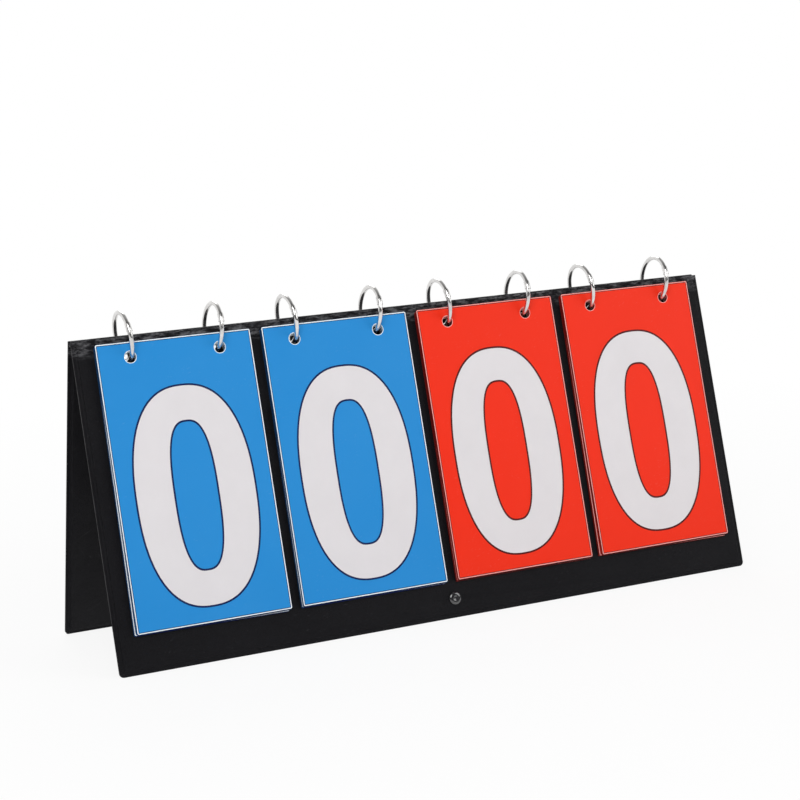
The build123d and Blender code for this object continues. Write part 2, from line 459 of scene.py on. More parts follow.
class Graph:
    """A node tree while it is being built."""

    def __init__(self, tree: bpy.types.NodeTree) -> None:
        """Start on an empty tree.

        Args:
            tree: the tree, whose old nodes are cleared.
        """
        self.tree = tree
        tree.nodes.clear()

    def add(
        self, kind: str, inputs: dict[str | int, Value] | None = None, **settings: object
    ) -> bpy.types.Node:
        """Add a node.

        Args:
            kind: its type, without the ShaderNode in front.
            inputs: what goes into its sockets, by name or number: a value, or another node's socket.
            settings: its own settings.

        Returns:
            The node.
        """
        node = self.tree.nodes.new(kind if kind.startswith("Node") else f"ShaderNode{kind}")
        for name, value in settings.items():
            setattr(node, name, value)
        for name, value in (inputs or {}).items():
            self.feed(node.inputs[name], value)
        return node

    def feed(self, socket: bpy.types.NodeSocket, value: Value) -> None:
        """Set a socket's value, or link another socket to it.

        Args:
            socket: the input socket.
            value: a value or an output socket.
        """
        if isinstance(value, bpy.types.NodeSocket):
            self.tree.links.new(value, socket)
        else:
            socket.default_value = value

    def maths(self, operation: str, *values: Value, clamp: bool = False) -> bpy.types.NodeSocket:
        """The answer of a Math node, kept from 0 to 1 where it is clamped."""
        node = self.add("Math", dict(enumerate(values)), operation=operation, use_clamp=clamp)
        return node.outputs[0]

    def times(self, *values: Value) -> bpy.types.NodeSocket:
        """Numbers multiplied together."""
        return reduce(lambda first, second: self.maths("MULTIPLY", first, second), values)

    def plus(self, *values: Value) -> bpy.types.NodeSocket:
        """Numbers added together."""
        return reduce(lambda first, second: self.maths("ADD", first, second), values)

    def ramp(
        self, value: Value, low: float, high: float, to_low: float = 0.0, to_high: float = 1.0
    ) -> bpy.types.NodeSocket:
        """A number stretched from one range (low, high) to another (to_low, to_high), with its ends held."""
        stretched = {"Value": value, "From Min": low, "From Max": high, "To Min": to_low, "To Max": to_high}
        return self.add("MapRange", stretched, clamp=True).outputs[0]

    def mix(self, share: Value, first: Value, second: Value) -> bpy.types.NodeSocket:
        """Mix two colours.

        Args:
            share: how much of the second shows.
            first: the colour at 0.
            second: the colour at 1.

        Returns:
            The colour's socket.
        """
        node = self.add("Mix", data_type="RGBA", clamp_factor=True)
        for number, value in ((0, share), (6, first), (7, second)):
            self.feed(node.inputs[number], value)
        return node.outputs[2]

    def places(
        self, stretch: Sequence[float] = (1, 1, 1), turn: Sequence[float] = (0, 0, 0)
    ) -> bpy.types.NodeSocket:
        """Points of the piece, stretched along each axis and turned about each, in radians."""
        points = self.add("TexCoord").outputs["Object"]
        return self.add("Mapping", {"Vector": points, "Scale": stretch, "Rotation": turn}).outputs[0]

    def noise(
        self, points: Value, size: float, detail: float = 2.0, roughness: float = 0.5
    ) -> bpy.types.NodeSocket:
        """Soft noise.

        Args:
            points: where it is read.
            size: how far apart its blotches are, in metres.
            detail: its octaves.
            roughness: how strong the small ones are.

        Returns:
            The noise's socket, from 0 to 1.
        """
        inputs = {"Vector": points, "Scale": 1 / size, "Detail": detail, "Roughness": roughness}
        return self.add("TexNoise", inputs).outputs["Fac"]


def node_group(name: str, inputs: dict[str, float], outputs: Sequence[str]) -> tuple[Graph, dict, dict]:
    """Start a shader node group of numbers.

    Args:
        name: what the group is called.
        inputs: its inputs and what they hold at first.
        outputs: its outputs.

    Returns:
        Its graph, the sockets that its inputs give inside it, and those that its outputs take.
    """
    tree = bpy.data.node_groups.new(name, "ShaderNodeTree")
    for label, value in inputs.items():
        socket = tree.interface.new_socket(label, in_out="INPUT", socket_type="NodeSocketFloat")
        socket.default_value = value
    for label in outputs:
        tree.interface.new_socket(label, in_out="OUTPUT", socket_type="NodeSocketFloat")
    graph = Graph(tree)
    given = graph.add("NodeGroupInput").outputs
    wanted = graph.add("NodeGroupOutput").inputs
    return graph, {n: given[n] for n in inputs}, {n: wanted[n] for n in outputs}


class Effects:
    """The surface effects that several finishes share, each a node group built once."""

    def __init__(self) -> None:
        """Build the groups."""
        self.groups = {
            "grain": self.pebble_grain(),
            "wear": self.edge_wear(),
            "scuffs": self.fine_scuffs(),
            "mottle": self.mottle(),
            "dust": self.settled_dust(),
        }

    def use(self, graph: Graph, name: str, **values: Value) -> bpy.types.NodeOutputs:
        """Place a group in a material.

        Args:
            graph: the material's graph.
            name: which effect.
            values: its inputs, with underscores for spaces.

        Returns:
            The group's outputs.
        """
        node = graph.add("Group", node_tree=self.groups[name])
        for label, value in values.items():
            graph.feed(node.inputs[label.replace("_", " ")], value)
        return node.outputs

    @staticmethod
    def pebble_grain() -> bpy.types.NodeTree:
        """Embossed pebbles with creases between them, over a soft unevenness.

        Returns:
            The group, whose Height is in pebbles and whose Creases are 1 at the bottom.
        """
        inputs, outputs = {"Pebble": 1 * MM, "Softness": 0.5}, ("Height", "Creases")
        graph, given, wanted = node_group("pebble_grain", inputs, outputs)
        points = graph.places()
        bent = graph.add("TexNoise", {"Vector": points, "Scale": 900.0, "Detail": 2.0}).outputs["Color"]
        shift = graph.add("VectorMath", {0: bent, "Scale": 0.6 * MM}, operation="SCALE").outputs[0]
        moved = graph.add("VectorMath", {0: points, 1: shift}, operation="ADD").outputs[0]
        density = graph.maths("DIVIDE", 1.0, given["Pebble"])
        cells = graph.add("TexVoronoi", {"Vector": moved, "Scale": density}, feature="DISTANCE_TO_EDGE")
        crease = graph.ramp(cells.outputs["Distance"], 0.0, 0.22, 1.0, 0.0)
        pebble = graph.maths("SUBTRACT", 1.0, graph.maths("POWER", crease, 1.6))
        fine = graph.noise(points, 0.35 * MM, 3.0, 0.6)
        broad = graph.noise(points, 12 * MM, 2.0, 0.5)
        rough = graph.plus(graph.times(fine, 0.25), graph.times(broad, 1.4))
        graph.feed(wanted["Height"], graph.plus(pebble, graph.times(rough, given["Softness"])))
        graph.feed(wanted["Creases"], crease)
        return graph.tree

    @staticmethod
    def edge_wear() -> bpy.types.NodeTree:
        """Where edges are rubbed.

        Returns:
            The group, whose Worn is 1 at a rubbed edge.
        """
        graph, given, wanted = node_group("edge_wear", {"Reach": 0.5 * MM, "Amount": 1.0}, ("Worn",))
        rounded = graph.add("Bevel", {"Radius": given["Reach"]}, samples=6).outputs[0]
        true_normal = graph.add("NewGeometry").outputs["Normal"]
        alike = graph.add("VectorMath", {0: rounded, 1: true_normal}, operation="DOT_PRODUCT")
        bare = graph.ramp(alike.outputs["Value"], 0.99, 0.8)
        patches = graph.ramp(graph.noise(graph.places(), 4 * MM, 4.0, 0.65), 0.38, 0.62)
        worn = graph.maths("MULTIPLY", bare, graph.times(patches, given["Amount"]), clamp=True)
        graph.feed(wanted["Worn"], worn)
        return graph.tree

    @staticmethod
    def fine_scuffs() -> bpy.types.NodeTree:
        """Hairline marks of handling, in two directions.

        Returns:
            The group, whose Marks is 1 on a mark.
        """
        graph, given, wanted = node_group("fine_scuffs", {"Length": 20 * MM, "Amount": 0.5}, ("Marks",))
        total = None
        for turn, thin in ((0.5, 0.25 * MM), (-0.9, 0.2 * MM)):
            points = graph.places(turn=(0, turn, turn * 0.4))
            across = graph.maths("DIVIDE", thin, given["Length"])
            squeeze = graph.add("CombineXYZ", {0: across, 1: 1.0, 2: 1.0}).outputs[0]
            drawn = graph.add("VectorMath", {0: points, 1: squeeze}, operation="MULTIPLY").outputs[0]
            streak = graph.ramp(graph.noise(drawn, thin * 3, 2.0, 0.4), 0.66, 0.74)
            there = graph.ramp(graph.noise(points, 30 * MM, 1.0), 0.5, 0.66)
            mark = graph.times(streak, there)
            total = mark if total is None else graph.maths("MAXIMUM", total, mark)
        graph.feed(wanted["Marks"], graph.maths("MULTIPLY", total, given["Amount"], clamp=True))
        return graph.tree

    @staticmethod
    def mottle() -> bpy.types.NodeTree:
        """Uneven tone over a broad surface.

        Returns:
            The group, whose Tone runs from 0 to 1.
        """
        graph, given, wanted = node_group("mottle", {"Patch": 30 * MM}, ("Tone",))
        points = graph.places()
        density = graph.maths("DIVIDE", 1.0, given["Patch"])
        broad = graph.add("TexNoise", {"Vector": points, "Scale": density, "Detail": 4.0, "Roughness": 0.6})
        graph.feed(wanted["Tone"], graph.ramp(broad.outputs["Fac"], 0.3, 0.7))
        return graph.tree

    @staticmethod
    def settled_dust() -> bpy.types.NodeTree:
        """Dust on what looks up.

        Returns:
            The group, whose Dust is 1 where it lies.
        """
        graph, given, wanted = node_group("settled_dust", {"Amount": 0.3}, ("Dust",))
        normal = graph.add("TexCoord").outputs["Normal"]
        up = graph.ramp(graph.add("SeparateXYZ", {0: normal}).outputs[2], 0.35, 1.0)
        specks = graph.ramp(graph.noise(graph.places(), 1.2 * MM, 5.0, 0.7), 0.42, 0.75)
        graph.feed(wanted["Dust"], graph.times(up, specks, given["Amount"]))
        return graph.tree


def new_material(name: str) -> tuple[bpy.types.Material, Graph]:
    """Start a material.

    Args:
        name: what it is called.

    Returns:
        The material and its graph.
    """
    material = bpy.data.materials.new(name)
    material.use_nodes = True
    return material, Graph(material.node_tree)


def close_material(graph: Graph, constants: dict[str, float], **varying: Value) -> None:
    """End a material in a Principled shader.

    Args:
        graph: the material's graph.
        constants: the shader's inputs that are the same all over.
        varying: its inputs that change over the surface, with underscores for spaces.
    """
    inputs = dict(constants) | {name.replace("_", " "): value for name, value in varying.items()}
    shader = graph.add("BsdfPrincipled", inputs)
    graph.add("OutputMaterial", {"Surface": shader.outputs[0]})


def bump(graph: Graph, height: Value, distance: float) -> bpy.types.NodeSocket:
    """A normal that follows a height of about 0 to 1, where 1 stands for a distance in metres."""
    return graph.add("Bump", {"Height": height, "Distance": distance, "Strength": 1.0}).outputs[0]


# ---- finishes -------------------------------------------------------------------------------------


@dataclass(frozen=True)
class Leatherette:
    """Embossed vinyl."""

    name: str = "cover_leatherette"
    face: Colour = (0.0048, 0.0045, 0.0066, 1)
    # crease: the darker tone of the mottle, and painted shade in the grain's creases
    crease: Colour = (0.0018, 0.0017, 0.0026, 1)
    worn: Colour = (0.045, 0.043, 0.049, 1)
    dust: Colour = (0.20, 0.195, 0.19, 1)
    pebble: float = 0.85 * MM
    emboss: float = 0.09 * MM
    strain: float = 0.13            # how pale the streaks of painted sheen along the ridge are
    strained_above: tuple[float, float] = (156.5 * MM, 161.5 * MM)     # where they begin and are full

    def build(self, effects: Effects) -> bpy.types.Material:
        """Make the material.

        Args:
            effects: the shared effects.

        Returns:
            The material.
        """
        material, graph = new_material(self.name)
        grain = effects.use(graph, "grain", Pebble=self.pebble)
        wear = effects.use(graph, "wear", Reach=0.6 * MM, Amount=0.9)["Worn"]
        tone = effects.use(graph, "mottle", Patch=45 * MM)["Tone"]
        marks = effects.use(graph, "scuffs", Length=30 * MM, Amount=0.35)["Marks"]
        dusty = effects.use(graph, "dust", Amount=0.07)["Dust"]
        strained = self.strained(graph)
        toned = graph.mix(graph.times(tone, 0.35), self.face, self.crease)
        # painted shade: the grain's creases darkened toward the crease colour
        colour = graph.mix(graph.times(grain["Creases"], 0.6), toned, self.crease)
        colour = graph.mix(graph.maths("MAXIMUM", wear, marks), colour, self.worn)
        # painted sheen: pale streaks along the ridge stand in for light on the bent vinyl; their bump below is
        # the crease
        colour = graph.mix(strained, colour, (self.strain, self.strain, self.strain * 1.06, 1))
        colour = graph.mix(dusty, colour, self.dust)
        height = graph.maths("SUBTRACT", grain["Height"], graph.times(marks, 0.5))
        close_material(
            graph,
            {"Specular IOR Level": 0.16},
            Base_Color=colour,
            Roughness=graph.plus(graph.ramp(tone, 0, 1, 0.40, 0.52), graph.times(grain["Creases"], 0.2)),
            Normal=bump(graph, graph.plus(height, graph.times(strained, 1.5)), self.emboss),
        )
        return material

    def strained(self, graph: Graph) -> bpy.types.NodeSocket:
        """Pale broken streaks along the ridge, where the vinyl is bent: a painted sheen of light on the bend.

        Args:
            graph: the material's graph.

        Returns:
            A socket that is 1 in a streak.
        """
        points = graph.places()
        height = graph.add("SeparateXYZ", {0: points}).outputs[2]
        drawn = graph.places(stretch=(0.3, 0.7, 1))
        streaks = graph.ramp(graph.noise(drawn, 1.6 * MM, 4.0, 0.65), 0.44, 0.62)
        patches = graph.ramp(graph.noise(points, 9 * MM, 3.0, 0.6), 0.34, 0.56)
        near = graph.ramp(height, *self.strained_above)
        return graph.times(near, streaks, patches)


@dataclass(frozen=True)
class CardStock:
    """Printed plastic sheet, its cut edges painted dark as the shade between the stacked cards."""

    team: Team
    face: Colour
    deep: Colour
    edge: Colour                    # painted shade on the sheet's cut edges, where the stacked cards shade each other
    scuff: Colour = (0.72, 0.74, 0.76, 1)
    emboss: float = 0.004 * MM

    def build(self, effects: Effects) -> bpy.types.Material:
        """Make the material.

        Args:
            effects: the shared effects.

        Returns:
            The material.
        """
        material, graph = new_material(f"{self.team.value}_card_stock")
        tone = effects.use(graph, "mottle", Patch=60 * MM)["Tone"]
        marks = effects.use(graph, "scuffs", Length=25 * MM, Amount=0.10)["Marks"]
        outward = (0.0, -cos(LEAN), sin(LEAN))
        normal = graph.add("TexCoord").outputs["Normal"]
        facing = graph.add("VectorMath", {0: normal, 1: outward}, operation="DOT_PRODUCT").outputs["Value"]
        painted_cut_edge_shade = graph.ramp(graph.maths("ABSOLUTE", facing), 0.5, 0.3)
        colour = graph.mix(graph.times(tone, 0.5), self.face, self.deep)
        colour = graph.mix(graph.times(marks, 0.35), colour, self.scuff)
        # painted shade: the cut edges darkened as the shade between the stacked cards
        colour = graph.mix(painted_cut_edge_shade, colour, self.edge)
        stipple = graph.noise(graph.places(), 0.6 * MM, 3.0, 0.6)
        gloss = graph.plus(graph.ramp(tone, 0, 1, 0.36, 0.46), graph.times(marks, 0.25))
        close_material(
            graph,
            {"Specular IOR Level": 0.14},
            Base_Color=colour,
            Roughness=gloss,
            Normal=bump(graph, stipple, self.emboss),
        )
        return material


@dataclass(frozen=True)
class PrintInk:
    """A flat screen-printed ink, a little uneven."""

    name: str
    face: Colour
    thin: Colour
    gloss: float = 0.42
    emboss: float = 0.003 * MM

    def build(self, effects: Effects) -> bpy.types.Material:
        """Make the material.

        Args:
            effects: the shared effects.

        Returns:
            The material.
        """
        material, graph = new_material(self.name)
        tone = effects.use(graph, "mottle", Patch=18 * MM)["Tone"]
        marks = effects.use(graph, "scuffs", Length=20 * MM, Amount=0.15)["Marks"]
        colour = graph.mix(graph.times(tone, 0.6), self.face, self.thin)
        screen = graph.noise(graph.places(), 0.4 * MM, 2.0, 0.5)
        gloss = graph.plus(graph.ramp(tone, 0, 1, self.gloss - 0.05, self.gloss + 0.05), marks)
        close_material(
            graph,
            {"Specular IOR Level": 0.14},
            Base_Color=colour,
            Roughness=gloss,
            Normal=bump(graph, screen, self.emboss),
        )
        return material


@dataclass(frozen=True)
class PlatedSteel:
    """Bright plated metal with hairline marks and dull patches."""

    name: str
    face: Colour
    dull: Colour
    gloss: float = 0.10
    dullness: float = 0.28
    relief: float = 0.006 * MM

    def build(self, effects: Effects) -> bpy.types.Material:
        """Make the material.

        Args:
            effects: the shared effects.

        Returns:
            The material.
        """
        material, graph = new_material(self.name)
        tone = effects.use(graph, "mottle", Patch=4 * MM)["Tone"]
        marks = effects.use(graph, "scuffs", Length=6 * MM, Amount=0.6)["Marks"]
        wear = effects.use(graph, "wear", Reach=0.2 * MM, Amount=0.6)["Worn"]
        tarnish = graph.maths("MAXIMUM", graph.times(tone, 0.45), graph.times(wear, 0.5))
        colour = graph.mix(tarnish, self.face, self.dull)
        gloss = graph.plus(graph.ramp(tone, 0, 1, self.gloss, self.dullness), graph.times(marks, 0.2))
        close_material(
            graph,
            {"Metallic": 1.0},
            Base_Color=colour,
            Roughness=gloss,
            Normal=bump(graph, graph.maths("SUBTRACT", tone, marks), self.relief),
        )
        return material


@dataclass(frozen=True)
class Lacquer:
    """Black lacquer over steel, rubbed through at its rims."""

    name: str = "rivet_lacquer"
    face: Colour = (0.012, 0.012, 0.014, 1)
    steel: Colour = (0.42, 0.42, 0.44, 1)
    relief: float = 0.01 * MM

    def build(self, effects: Effects) -> bpy.types.Material:
        """Make the material.

        Args:
            effects: the shared effects.

        Returns:
            The material.
        """
        material, graph = new_material(self.name)
        worn = effects.use(graph, "wear", Reach=0.35 * MM, Amount=0.9)["Worn"]
        tone = effects.use(graph, "mottle", Patch=2 * MM)["Tone"]
        colour = graph.mix(worn, self.face, self.steel)
        close_material(
            graph,
            {"Specular IOR Level": 0.8, "Coat Weight": 1.0, "Coat Roughness": 0.06},
            Base_Color=colour,
            Metallic=graph.times(worn, 0.9),
            Roughness=graph.ramp(tone, 0, 1, 0.14, 0.26),
            Normal=bump(graph, tone, self.relief),
        )
        return material


@dataclass(frozen=True)
class GreyBoard:
    """Pressed paper fibre."""

    name: str = "grey_board"
    face: Colour = (0.32, 0.29, 0.25, 1)
    fleck: Colour = (0.16, 0.145, 0.13, 1)
    relief: float = 0.05 * MM

    def build(self, effects: Effects) -> bpy.types.Material:
        """Make the material.

        Args:
            effects: the shared effects.

        Returns:
            The material.
        """
        material, graph = new_material(self.name)
        tone = effects.use(graph, "mottle", Patch=8 * MM)["Tone"]
        fibre = graph.noise(graph.places(stretch=(0.25, 1, 1)), 0.3 * MM, 4.0, 0.7)
        flecks = graph.ramp(graph.noise(graph.places(), 0.7 * MM, 3.0, 0.7), 0.58, 0.7)
        colour = graph.mix(graph.maths("MAXIMUM", flecks, graph.times(tone, 0.3)), self.face, self.fleck)
        close_material(
            graph,
            {"Specular IOR Level": 0.2},
            Base_Color=colour,
            Roughness=graph.ramp(fibre, 0.3, 0.7, 0.85, 0.97),
            Normal=bump(graph, fibre, self.relief),
        )
        return material


# Each stock's edge colour is painted shade for its cards' cut edges.
CARD_STOCKS = {
    Team.BLUE: CardStock(
        Team.BLUE, face=(0.018, 0.242, 0.610, 1), deep=(0.028, 0.262, 0.625, 1), edge=(0.010, 0.060, 0.160, 1)
    ),
    Team.RED: CardStock(
        Team.RED, face=(0.850, 0.026, 0.006, 1), deep=(0.810, 0.031, 0.008, 1), edge=(0.240, 0.010, 0.006, 1)
    ),
}
OUTLINE_INKS = {
    Team.BLUE: PrintInk("navy_outline", face=(0.006, 0.014, 0.075, 1), thin=(0.010, 0.024, 0.110, 1)),
    Team.RED: PrintInk("maroon_outline", face=(0.070, 0.006, 0.006, 1), thin=(0.105, 0.009, 0.008, 1)),
}
MARGIN_INKS = {
    Team.BLUE: PrintInk("pale_blue_margin", face=(0.84, 0.90, 0.92, 1), thin=(0.78, 0.86, 0.90, 1)),
    Team.RED: PrintInk("pale_pink_margin", face=(0.90, 0.36, 0.33, 1), thin=(0.88, 0.31, 0.28, 1)),
}
DIGIT_INK = PrintInk("number_white", face=(0.715, 0.690, 0.705, 1), thin=(0.675, 0.650, 0.665, 1))
COVER = Leatherette()
STRAP = Leatherette("strap_leatherette", face=(0.009, 0.0085, 0.011, 1), pebble=0.6 * MM, emboss=0.06 * MM)
RING_PLATE = PlatedSteel("ring_nickel", face=(0.78, 0.77, 0.76, 1), dull=(0.40, 0.39, 0.38, 1))
WASHER_PLATE = PlatedSteel(
    "washer_zinc", face=(0.55, 0.56, 0.58, 1), dull=(0.33, 0.34, 0.36, 1), gloss=0.3, dullness=0.5
)


class Finishes:
    """All the part's finishes, built once."""

    def __init__(self) -> None:
        """Build the shared effects and every finish."""
        effects = Effects()
        self.cover = COVER.build(effects)
        self.strap = STRAP.build(effects)
        self.stock = {team: stock.build(effects) for team, stock in CARD_STOCKS.items()}
        self.outline = {team: ink.build(effects) for team, ink in OUTLINE_INKS.items()}
        self.margin = {team: ink.build(effects) for team, ink in MARGIN_INKS.items()}
        self.digit = DIGIT_INK.build(effects)
        self.ring = RING_PLATE.build(effects)
        self.washer = WASHER_PLATE.build(effects)
        self.rivet = Lacquer().build(effects)
        self.board = GreyBoard().build(effects)


# ---- the two leaves -------------------------------------------------------------------------------


@dataclass
class LeafCover:
    """The two vinyl sheets of a leaf, welded round the board between them."""

    stand: Stand
    side: Side
    finishes: Finishes
    corner_radius: float = 2.5      # cut edge at the lower corners
    weld_radius: float = 4.0        # how wide the weld inside it turns there, measured at the edge
    flange: float = 2.6             # edge of the sheet to the middle of the raised panel's shoulder
    lead_in: float = 0.3            # the shoulder begins this much before its middle
    rim: float = 0.9                # edge to the weld's groove
    groove: float = 0.7
    groove_wall: float = 0.12
    groove_depth: float = 0.10
    ridge_extra: float = 0.5        # the flange is this much wider along the ridge
    edge_round: float = 0.08
    rivet_hole: float = 1.75        # radius

    def panel_steps(self) -> list[tuple[float, float]]:
        """How the sheet steps in and up from its edge to the flat of the panel.

        Returns:
            The steps, each a way in from the edge before and a rise.
        """
        wall, depth = self.groove_wall, self.groove_depth
        weld = [(wall, -depth), (self.groove, 0.0), (wall, depth)]
        shoulder = [(0.20, 0.08), (0.12, 0.22), (0.06, 0.28), (0.12, 0.16), (0.20, 0.06)]
        foot = self.flange - self.rim - self.groove - 2 * wall - self.lead_in
        return weld + [(foot, 0.0)] + shoulder

    def sheet(self, facing: Facing) -> bpy.types.Object:
        """Model one sheet lying flat with its outside up, stand it on its leaf and cut its foot level.

        Args:
            facing: which sheet.

        Returns:
            The sheet, on its leaf.
        """
        name = f"{self.side.label}_cover_{facing.name.lower()}"
        width, length = 2 * self.stand.half_width, self.stand.leaf_length
        sheet = block(name, (0, -length / 2, SHEET / 2), (width, length, SHEET))
        with edit_mode(sheet):
            low = TINY - length
            pick_edges(lambda a, b: a.y < low and b.y < low and abs(a.z - b.z) > SHEET / 2)
            bpy.ops.mesh.bevel(offset=self.weld_radius, segments=8, affect="EDGES")
            pick_faces(lambda at, normal: normal.z > 0.9)
            bpy.ops.mesh.inset(thickness=self.rim, depth=0)
            pick_edges(lambda a, b: min(a.y, b.y) > -self.rim * 1.5 and max(a.y, b.y) < -self.rim / 2)
            bpy.ops.transform.translate(value=(0, -self.ridge_extra, 0))
            central = length / 4
            pick_faces(lambda at, normal: normal.z > 0.9 and abs(at.x) < central > abs(at.y + length / 2))
            for inward, rise in self.panel_steps():
                bpy.ops.mesh.inset(thickness=inward, depth=rise)
            pick_faces(lambda at, normal: normal.z < -0.9)
            bpy.ops.mesh.inset(thickness=self.flange + SHEET, depth=0)
            bpy.ops.mesh.extrude_region_move(TRANSFORM_OT_translate={"value": (0, 0, CORE_HALF)})
            self.tighten_corners()
        self.punch(sheet, facing)
        lift = Matrix.Translation((0, 0, WELD_DEPTH))
        turn = Matrix.Rotation(0 if facing is Facing.OUTER else pi, 4, "Y")
        carry(sheet, self.stand.leaf_frame(self.side) @ lift @ turn)
        with edit_mode(sheet):
            bpy.ops.mesh.select_all(action="SELECT")
            bpy.ops.mesh.bisect(plane_co=(0, 0, 0), plane_no=(0, 0, 1), clear_inner=True, use_fill=True)
        rub = sheet.modifiers.new("rub", "BEVEL")
        rub.width = self.edge_round
        rub.segments = 2
        rub.limit_method = "ANGLE"
        rub.angle_limit = radians(50)
        apply_modifiers(sheet)
        smooth(sheet, 40)
        settle(sheet, Matrix.Identity(4))
        dress(sheet, self.finishes.cover)
        return sheet

    def tighten_corners(self) -> None:
        """Draw the edited sheet's cut edge out at its lower corners, where it turns tighter than its weld."""
        for hand in (-1, 1):
            corner = Vector((hand * self.stand.half_width, -self.stand.leaf_length))
            middle = corner + self.weld_radius * Vector((-hand, 1))

            def on_turn(point: Vector) -> bool:
                """Whether a point is on the cut edge's turn at this corner."""
                flat = point.xy
                beside = max(abs(flat.x - corner.x), abs(flat.y - corner.y)) < self.weld_radius + TINY
                return beside and (flat - middle).length > self.weld_radius - self.rim / 2

            pick_edges(lambda a, b: on_turn(a) and on_turn(b))
            share = self.corner_radius / self.weld_radius
            bpy.ops.transform.resize(value=(share, share, 1), center_override=corner.to_3d())

    def punch(self, sheet: bpy.types.Object, facing: Facing) -> None:
        """Punch the ring holes and the rivet's hole.

        Args:
            sheet: the sheet, lying flat.
            facing: which sheet it is.
        """
        hand = self.side.value * facing.value
        down = sqrt(RING_RADIUS**2 - WELD_DEPTH**2)
        places = [(hand * x, -down, LEAF_HOLE_RADIUS) for x in self.stand.ring_x]
        places.append((hand * self.stand.rivet_x, -self.stand.rivet_down, self.rivet_hole))
        for x, y, radius in places:
            combine(sheet, rod("punch", (x, y, 0), radius, PUNCH_LENGTH, sides=40), "DIFFERENCE")

    def build(self) -> None:
        """Make both sheets and put them on their leaf."""
        for facing in Facing:
            sheet = self.sheet(facing)
            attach(sheet, self.side.body)
            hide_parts(f"{self.side.label}_{facing.name.lower()}_vinyl")
            log.info("made %s", sheet.name)


@dataclass
class RidgeFold:
    """The welded vinyl that carries on from one leaf to the other over the ridge."""

    stand: Stand
    finishes: Finishes
    lengthwise: int = 150           # divisions along the ridge
    round_about: int = 20           # divisions over the ridge
    crease_depth: float = 0.16
    crease_out: float = 0.4         # a crease each side of the top, at this sine of the angle from it
    crease_width: float = 0.1       # of that sine
    sag: float = 0.05               # unevenness along the ridge
    wave: float = 0.21              # how fast it changes, in radians for a millimetre
    drift: float = 0.037            # how fast its waves stretch and crowd
    end_power: int = 8              # how suddenly all this dies out at the leaves

    def build(self) -> None:
        """Model the fold over the ridge."""
        outer, inner = WELD_DEPTH + SHEET, WELD_DEPTH - SHEET
        deselect_all()
        bpy.ops.mesh.primitive_grid_add(x_subdivisions=self.lengthwise, y_subdivisions=2, size=1)
        fold = bpy.context.object
        fold.name = "ridge_cover"
        fold.scale = (2 * self.stand.half_width, outer - inner, 1)
        fold.location = (0, -(outer + inner) / 2, 0)
        freeze(fold)
        carry(fold, Matrix.Rotation(-LEAN, 4, "X"))
        with edit_mode(fold):
            spin_shell(self.round_about, -(pi - 2 * LEAN), (1, 0, 0))
        self.crease(fold)
        smooth(fold, 60)
        settle(fold, Matrix.Translation(self.stand.fold))
        dress(fold, self.finishes.cover)
        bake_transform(fold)
        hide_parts("ridge_fold")
        log.info("made %s", fold.name)

    def crease(self, fold: bpy.types.Object) -> None:
        """Press the two creases and a slight unevenness into the fold, and leave its two ends alone.

        Args:
            fold: the fold, about the origin.
        """
        limit = pi / 2 - LEAN
        for vertex in fold.data.vertices:
            out = Vector((0, vertex.co.y, vertex.co.z))
            angle = Vector((0, 0, 1)).angle(out)
            free = max(0.0, 1 - (angle / limit) ** self.end_power)
            off_crease = abs(out.y / out.length) - self.crease_out
            dip = exp(-((off_crease / self.crease_width) ** 2))
            uneven = 0.5 + 0.5 * sin(vertex.co.x * self.wave + 2 * sin(vertex.co.x * self.drift))
            vertex.co -= out.normalized() * free * (dip * self.crease_depth + uneven * self.sag)


@dataclass
class StrapRivet:
    """A domed rivet cap, its shank and its clinched tail."""

    stand: Stand
    side: Side
    finishes: Finishes
    head_radius: float = 3.6
    head_height: float = 1.1
    shank_radius: float = 1.6
    tail_radius: float = 2.4
    tail_height: float = 0.5

    def profile(self) -> list[tuple[float, float]]:
        """Half the rivet's section, from the top of its head to the end of its tail.

        Returns:
            Points, each a radius and a height above the leaf's outer face.
        """
        under = FACE_INNER - FACE_OUTER - STRAP_THICKNESS - WASHER_THICKNESS
        end = under - self.tail_height
        dome = [(0, 0.80), (0.22, 0.82), (0.36, 0.95), (0.48, 1.0), (0.62, 0.98)]
        dome += [(0.78, 0.86), (0.90, 0.64), (0.97, 0.40), (1.0, 0.16), (0.985, 0)]
        tail = [(self.shank_radius, 0), (self.shank_radius, under), (self.tail_radius, under)]
        tail += [(self.tail_radius, under - self.tail_height * 0.6), (self.tail_radius * 0.8, end), (0, end)]
        return [(share * self.head_radius, up * self.head_height) for share, up in dome] + tail

    def build(self) -> None:
        """Spin the section round and set the rivet in its leaf."""
        section = self.profile()
        mesh = bpy.data.meshes.new("rivet_section")
        links = [(n, n + 1) for n in range(len(section) - 1)]
        mesh.from_pydata([(radius, 0, height) for radius, height in section], links, [])
        rivet = add_object(f"{self.side.label}_rivet", mesh)
        with edit_mode(rivet):
            spin_shell(48, 2 * pi, (0, 0, 1))
        smooth(rivet, 42)
        place = Matrix.Translation((self.side.value * self.stand.rivet_x, -self.stand.rivet_down, FACE_OUTER))
        settle(rivet, self.stand.leaf_frame(self.side) @ place)
        dress(rivet, self.finishes.rivet)
        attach(rivet, self.side.body)
        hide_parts(f"{self.side.label}_strap_rivet")
        log.info("made %s", rivet.name)


# ---- the brace strap ------------------------------------------------------------------------------


